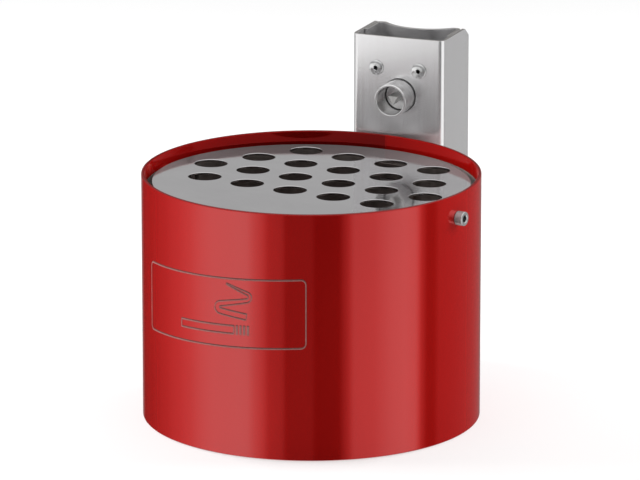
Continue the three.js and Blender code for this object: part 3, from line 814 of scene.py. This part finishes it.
# ---------- sieve ----------
def sieve_sheet():
    """The perforated plate: its rows of holes lie towards the rear, its front part is plain."""
    holes = []
    for row, count in enumerate(ROW_COUNTS):
        y = REAR_ROW_Y - row * ROW_PITCH
        first_x = HOLES_X - (count - 1) / 2 * HOLE_PITCH
        holes += [circle((first_x + k * HOLE_PITCH, y), HOLE_R) for k in range(count)]
    loops = [circle((0, 0), SIEVE_R, 256), *holes]
    bottom = SIEVE_TOP - SIEVE_T
    sheet = extruded("sieve_sheet", loops, bottom, SIEVE_TOP, POLISHED, SIEVE, edge=0.3 * MM)
    stands_for(sheet, "sieve", "polished_stainless", "sieve_plate")


# ---------- bracket ----------
BEND_R = 3 * MM
FACE_BOW = 0.8 * MM
BOLT_R = 10.3 * MM
BOLT_BORE = 8.8 * MM
RIVET_HEAD_R = 4.75 * MM
RIVET_BODY_R = 1.6 * MM
RIVET_BORE_R = 1.3 * MM


def cover_line():
    """Middle line of the front sheet: a bowed face between two rounded bends."""
    side = BRACKET_HALF_W - SHEET_T / 2
    face = FACE_Y + SHEET_T / 2

    def on_face(x):
        return (x, face + FACE_BOW * (x / side) ** 2)

    bow = [on_face(side * k / 10) for k in range(-8, 9)]
    left = [(-side, REAR_EDGE_Y), (*on_face(-side), BEND_R)]
    right = [(*on_face(side), BEND_R), (side, REAR_EDGE_Y)]
    return round_corners(left + bow + right, closed=False, steps=10)


def face_hole(radius, x, z):
    """A round hole through the front sheet, as a cutting tool."""
    return rod(radius, FACE_Y - 3 * MM, FACE_Y + 5 * MM, BRACKET @ facing((0, 1, 0), (x, 0, z)))


def pintle_window(shelf_node):
    """The opening in the front sheet over one pintle shelf, as a cutting tool."""
    shelf_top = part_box(shelf_node)[1].z
    half_w, sill, head = 10.2 * MM, 0.5 * MM, 24.5 * MM
    low = (-half_w, FACE_Y - 3 * MM, shelf_top + sill)
    high = (half_w, FACE_Y + 5 * MM, shelf_top + head)
    return block(low, high, BRACKET)


def bracket_cover():
    """The front sheet, with the lock's hole, the pintle windows, driver holes and rivet holes."""
    outline = sheet_outline(cover_line(), SHEET_T)
    cover = extruded("bracket_cover", [outline], COVER_LO.z, COVER_HI.z, BRUSHED, BRACKET)
    lock_hole = rod(BOLT_R + 0.6 * MM, -FACE_Y - 5 * MM, -FACE_Y + 3 * MM, LOCK_FRONT)
    tools = [lock_hole, corner_cut(1), corner_cut(-1)]
    tools += [pintle_window(node) for node in ("pintle_shelf_upper", "pintle_shelf_lower")]
    tools += [face_hole(6 * MM, 0, z) for z in fixing_heights()]
    rivets = [rivet_centre(node) for node in ("rivet_left", "rivet_right")]
    tools += [face_hole(RIVET_BODY_R + 0.3 * MM, x, z) for x, z in rivets]
    cut(cover, *tools)
    stands_for(cover, "bracket", "brushed_stainless", "front_cover")


def corner_cut(end):
    """What is cut off the sides' rear corners at one end, up (1) or down (-1), as a cutting tool."""
    deep, tall, beyond = 6.5 * MM, 5 * MM, MM
    edge_z = COVER_HI.z if end > 0 else COVER_LO.z
    outline = [
        (REAR_EDGE_Y - deep, edge_z),
        (REAR_EDGE_Y, edge_z - end * tall),
        (REAR_EDGE_Y + beyond, edge_z - end * tall),
        (REAR_EDGE_Y + beyond, edge_z + end * beyond),
        (REAR_EDGE_Y - deep, edge_z + end * beyond),
    ]
    across = Matrix(((0, 0, 1, 0), (1, 0, 0, 0), (0, 1, 0, 0), (0, 0, 0, 1)))
    half_w = BRACKET_HALF_W + beyond
    return extruded("tool", [outline], -half_w, half_w, PLAIN_TOOL, BRACKET @ across, edge=0.0)


def fixing_heights():
    """Heights of the two fixing screws, between the shelves."""
    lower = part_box("pintle_shelf_lower")[1].z
    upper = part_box("pintle_shelf_upper")[1].z
    return [lower + 10 * MM + (upper - lower) * part / 3 for part in (1, 2)]


def rivet_centre(node):
    """Where a rivet's axis is: its x in the bracket's own axes, and its height."""
    low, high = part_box(node)
    return (low.x + high.x) / 2 - PINTLE.x, (low.z + high.z) / 2


def seat_sheet():
    """Rear sheet: flat lands beside a hollow for the post, flanges inside the cover's sides."""
    post_r = 30 * MM
    half_chord = 22 * MM
    side = (SEAT_HI.x - SEAT_LO.x) / 2 - SHEET_T / 2
    land = BACK_Y - SHEET_T / 2
    post_y = BACK_Y + math.sqrt(post_r**2 - half_chord**2)
    middle_r = post_r + SHEET_T / 2
    sweep = math.degrees(math.acos((post_y - land) / middle_r))
    hollow = arc((0, post_y), middle_r, -90 - sweep, -90 + sweep, 28)
    front = SEAT_LO.y - PINTLE.y
    ends = ((-side, front), (side, front))
    left = [ends[0], (-side, land, 2 * MM)]
    right = [(side, land, 2 * MM), ends[1]]
    line = round_corners(left + [tuple(p) for p in hollow] + right, closed=False, steps=8)
    outline = sheet_outline(line, SHEET_T)
    seat = extruded("seat_sheet", [outline], SEAT_LO.z, SEAT_HI.z, BRUSHED, BRACKET)
    hollow_front = post_y - post_r - SHEET_T
    span = (hollow_front - MM, BACK_Y)
    fixing_r = 4.25 * MM
    places = [BRACKET @ facing((0, 1, 0), (0, 0, z)) for z in fixing_heights()]
    cut(seat, *[rod(fixing_r, *span, place) for place in places])
    stands_for(seat, "bracket", "brushed_stainless", "post_seat")


def blind_rivet(node):
    """Domed rivet with the open hole its mandrel left."""
    x, z = rivet_centre(node)
    seat = -FACE_Y + 0.02 * MM
    hole_floor = seat - 2.4 * MM
    rim, dome_h = 0.25 * MM, 1.25 * MM
    bulb_r = 2.5 * MM
    tail = seat - 7.3 * MM
    angles = [math.radians(degrees) for degrees in range(26, 91, 4)]
    dome = [(RIVET_HEAD_R * math.sin(a), seat + rim + dome_h * math.cos(a)) for a in angles]
    bore = [
        (0, hole_floor),
        (RIVET_BORE_R, hole_floor),
        (RIVET_BORE_R, seat + 1.3 * MM),
        (1.45 * MM, seat + 1.48 * MM),
        (1.75 * MM, seat + 1.5 * MM),
    ]
    shank = [
        (RIVET_HEAD_R, seat),
        (RIVET_BODY_R, seat),
        (RIVET_BODY_R, seat - 4.2 * MM),
        (bulb_r, seat - 4.9 * MM),
        (bulb_r, seat - 6.4 * MM),
        (RIVET_BORE_R, tail),
        (0, tail),
    ]
    profile = bore + dome + shank
    place = BRACKET @ facing((0, -1, 0), (x, 0, z))
    rivet = revolved(node + "_dome", profile, FASTENER, place, segments=64)
    # The bore's deep faces get the painted recess shade.
    rivet.data.materials.append(RECESS_SHADE)
    for face in rivet.data.polygons:
        inside = place.inverted() @ face.center
        deep = hole_floor - 0.1 * MM < inside.z < seat + MM
        face.material_index = 1 if deep and inside.xy.length < RIVET_BORE_R + 0.02 * MM else 0
    stands_for(rivet, "bracket", "fastener_steel", node)


# ---------- lock ----------
def lock_tube():
    """The tube bolt: a plain tube with rounded rims."""
    tip = PINTLE.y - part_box("lock_bolt")[0].y
    tail = PINTLE.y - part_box("lock_bolt")[1].y
    profile = round_corners(
        [
            (BOLT_BORE, tail, 0.3 * MM),
            (BOLT_R, tail, 0.3 * MM),
            (BOLT_R, tip, 0.55 * MM),
            (BOLT_BORE, tip, 0.55 * MM),
        ],
        closed=True,
        steps=6,
    )
    tube = revolved("lock_tube", profile, TURNED, LOCK_FRONT, segments=128, closed=True)
    stands_for(tube, "bolt", "bright_steel", "lock_bolt")


def key_plug():
    """The lock's plug: a round body with a triangular stud, point down, its corners rounded off."""
    low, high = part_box("lock_plug")
    face = -FACE_Y + 0.5 * MM
    rear = PINTLE.y - high.y
    body_r, journal_r, journal_l, edge = 8.5 * MM, 4 * MM, 4.1 * MM, 0.3 * MM
    corners = [
        (0, rear),
        (journal_r, rear, edge),
        (journal_r, rear + journal_l),
        (body_r, rear + journal_l, edge),
        (body_r, face, 0.5 * MM),
        (0, face),
    ]
    plug = revolved("key_plug", round_corners(corners, False, 4), TURNED, LOCK_FRONT, segments=96)
    stands_for(plug, "plug", "bright_steel", "lock_plug")
    tip = PINTLE.y - low.y
    stud_r = 6.8 * MM / math.sqrt(3)
    thirds = [-math.pi / 2 + 2 * math.pi * k / 3 for k in range(3)]
    corners = [(stud_r * math.cos(a), stud_r * math.sin(a), 0.45 * MM) for a in thirds]
    outline = round_corners(corners, True, 5)
    foot = face - 0.5 * MM
    edge = 0.35 * MM
    stud = extruded("key_stud", [outline], foot, tip, STUD, LOCK_FRONT, edge=edge, edge_steps=3)
    stands_for(stud, "plug", "bright_steel")


# ---------- camera, light and floor ----------
def camera():
    """A long lens that looks down on the drum from the right of the bracket's front."""
    right = Vector((math.cos(CAMERA_AZIMUTH), math.sin(CAMERA_AZIMUTH), 0))
    ahead = Vector((-right.y, right.x, 0))
    down = Vector((0, 0, -1))
    toward = ahead * math.cos(CAMERA_ELEVATION) + down * math.sin(CAMERA_ELEVATION)
    up = right.cross(toward)
    aim = Vector((0, 0, RIM_Z)) + right * AIM_RIGHT - up * AIM_DOWN
    data = bpy.data.cameras.new("camera")
    data.lens = CAMERA_LENS_MM
    data.sensor_width = 36
    data.clip_end = 100
    holder = bpy.data.objects.new("camera", data)
    turn = Matrix((right, up, -toward)).transposed()
    holder.matrix_world = Matrix.Translation(aim - toward * CAMERA_DISTANCE) @ turn.to_4x4()
    bpy.context.scene.collection.objects.link(holder)
    bpy.context.scene.camera = holder


# Studio walls as the drum mirrors them: brightness by direction, in degrees round from the camera,
# positive to the right.
WALL_TONES = [
    (-180, 0.19),
    (-168, 0.19),
    (-160, 0.03),
    (-140, 0.05),
    (-128, 0.10),
    (-116, 0.20),
    (-102, 0.45),
    (-90, 0.83),
    (-79, 1.46),
    (-70, 1.85),
    (-50, 2.10),
    (-44, 2.00),
    (-39, 1.30),
    (-33, 0.75),
    (-29, 0.34),
    (-20, 0.28),
    (-17, 0.10),
    (0, 0.11),
    (3, 0.04),
    (19, 0.05),
    (25, 0.35),
    (29, 0.90),
    (43, 1.00),
    (56, 1.55),
    (66, 1.70),
    (75, 1.40),
    (80, 0.35),
    (85, 0.06),
    (92, 0.06),
    (97, 0.17),
    (136, 0.15),
    (180, 0.19),
]

# The tent above its walls: brightness by height, from 0 straight down to 1 straight up.
WALL_TOP = 0.52
CEILING_TONES = [(WALL_TOP, 0.19), (0.68, 0.19), (0.8, 0.6), (1.0, 1.3)]

# How strongly bright walls are evened out in rough reflections, and the brightest that is left.
EVENING = 2.6
EVENED_LIMIT = 1.25
MATT_TONE = 0.12
BACKDROP_TONE = 0.95


def studio_world():
    """A soft light tent: white to the camera, faint to matt surfaces, walls of light in mirrors."""
    world = bpy.data.worlds.new("studio")
    bpy.context.scene.world = world
    world.use_nodes = True
    world.cycles.sampling_method = "NONE"
    kit = NodeKit(world.node_tree)
    kit.nodes.clear()

    def ramp(source, stops):
        node = kit.add("ShaderNodeValToRGB")
        elements = node.color_ramp.elements
        while len(elements) < len(stops):
            elements.new(0.5)
        for element, (position, tone) in zip(elements, stops):
            element.position = position
            element.color = (tone, tone, tone, 1)
        kit.link(source, node.inputs["Fac"])
        return node.outputs["Color"]

    # Angle round from the direction of the camera, positive to the camera's right, as 0..1.
    ray = kit.split(kit.add("ShaderNodeTexCoord").outputs["Generated"])
    back = (math.sin(CAMERA_AZIMUTH), -math.cos(CAMERA_AZIMUTH))
    right = (math.cos(CAMERA_AZIMUTH), math.sin(CAMERA_AZIMUTH))

    def along(direction):
        x_part = kit.maths("MULTIPLY", ray.outputs["X"], direction[0])
        y_part = kit.maths("MULTIPLY", ray.outputs["Y"], direction[1])
        return kit.maths("ADD", x_part, y_part)

    angle = kit.maths("ARCTAN2", along(right), along(back))
    share = kit.maths("ADD", kit.maths("DIVIDE", angle, 2 * math.pi), 0.5)
    walls = ramp(share, [((degrees + 180) / 360, tone) for degrees, tone in WALL_TONES])
    height = kit.maths("ADD", kit.maths("MULTIPLY", ray.outputs["Z"], 0.5), 0.5)
    above = ramp(height, [(WALL_TOP, 0), (WALL_TOP + 0.05, 1)])
    tent = kit.tint(above, walls, ramp(height, CEILING_TONES))

    # The clear coat mirrors the tent as it is; what lies under it, and the steel, see it evened out.
    faded = kit.maths("EXPONENT", kit.maths("MULTIPLY", tent, -EVENING))
    evened = kit.maths("MULTIPLY", kit.maths("SUBTRACT", 1.0, faded), EVENED_LIMIT)
    path = kit.add("ShaderNodeLightPath")
    reflections = kit.tint(path.outputs["Is Singular Ray"], evened, tent)
    lit = kit.tint(path.outputs["Is Glossy Ray"], (MATT_TONE,) * 3, reflections)
    seen = kit.tint(path.outputs["Is Camera Ray"], lit, (BACKDROP_TONE,) * 3)
    background = kit.add("ShaderNodeBackground")
    kit.link(seen, background.inputs["Color"])
    output = kit.add("ShaderNodeOutputWorld")
    kit.link(background.outputs["Background"], output.inputs["Surface"])


def softbox(name, azimuth_deg, elevation_deg, distance, side, watts):
    """A square area light that faces the drum, at an angle round from the camera and up."""
    data = bpy.data.lights.new(name, "AREA")
    data.shape = "SQUARE"
    data.size = side
    data.energy = watts
    lamp = bpy.data.objects.new(name, data)
    azimuth = CAMERA_AZIMUTH + math.radians(azimuth_deg - 90)
    elevation = math.radians(elevation_deg)
    level = math.cos(elevation)
    direction = Vector((math.cos(azimuth) * level, math.sin(azimuth) * level, math.sin(elevation)))
    target = Vector((0, 0, RIM_Z / 2))
    lamp.matrix_world = facing(direction, target + direction * distance)
    lamp.visible_glossy = False
    bpy.context.scene.collection.objects.link(lamp)


def floor():
    """A wide white floor just under the drum's foot; mirrors do not see it."""
    half = 40
    mesh = bpy.data.meshes.new("floor")
    corners = [(-half, -half, 0), (half, -half, 0), (half, half, 0), (-half, half, 0)]
    mesh.from_pydata(corners, [], [(0, 1, 2, 3)])
    plane = bpy.data.objects.new("floor", mesh)
    plane.location.z = -0.5 * MM
    mesh.materials.append(floor_white())
    bpy.context.scene.collection.objects.link(plane)
    plane.visible_glossy = False


def colour_management():
    """Colours shown as they are, and a clean picture with deep enough reflections."""
    scene = bpy.context.scene
    scene.view_settings.view_transform = "Standard"
    scene.view_settings.look = "None"
    scene.cycles.use_denoising = True
    scene.cycles.max_bounces = 10


# ---------- build ----------
drum_shell()
base_pan()
weld_ring()
seam_bead()
socket_screw("screw_right", "pivot_screw_right", 1)
socket_screw("screw_left", "pivot_screw_left", -1)
pictogram()
sieve_sheet()
bracket_cover()
seat_sheet()
blind_rivet("rivet_left")
blind_rivet("rivet_right")
lock_tube()
key_plug()

KEPT_NODES = [
    (BRUSHED, ("eye_lug_upper", "eye_lug_lower", "pivot_ear_left", "pivot_ear_right")),
    (BRUSHED, ("pintle_shelf_upper", "pintle_shelf_lower", "lock_cage", "plug_plate")),
    (INSIDE, ("hanger_plate", "sieve_stop")),
    (NYLON, ("bush_upper", "bush_lower", "pivot_spacer_left", "pivot_spacer_right")),
    (FASTENER, ("pivot_nut_left", "pivot_nut_right", "plug_retaining_ring")),
    (TURNED, ("pintle_pin_upper", "pintle_pin_lower", "bolt_guide", "cam_pin")),
]
for material, nodes in KEPT_NODES:
    for node in nodes:
        dress(node, material)

colour_management()
studio_world()
softbox("side_light_left", azimuth_deg=-108, elevation_deg=25, distance=1.3, side=1.0, watts=25)
softbox("side_light_right", azimuth_deg=108, elevation_deg=25, distance=1.3, side=1.0, watts=20)
softbox("top_light", azimuth_deg=0, elevation_deg=88, distance=2.6, side=2.4, watts=30)
floor()
camera()
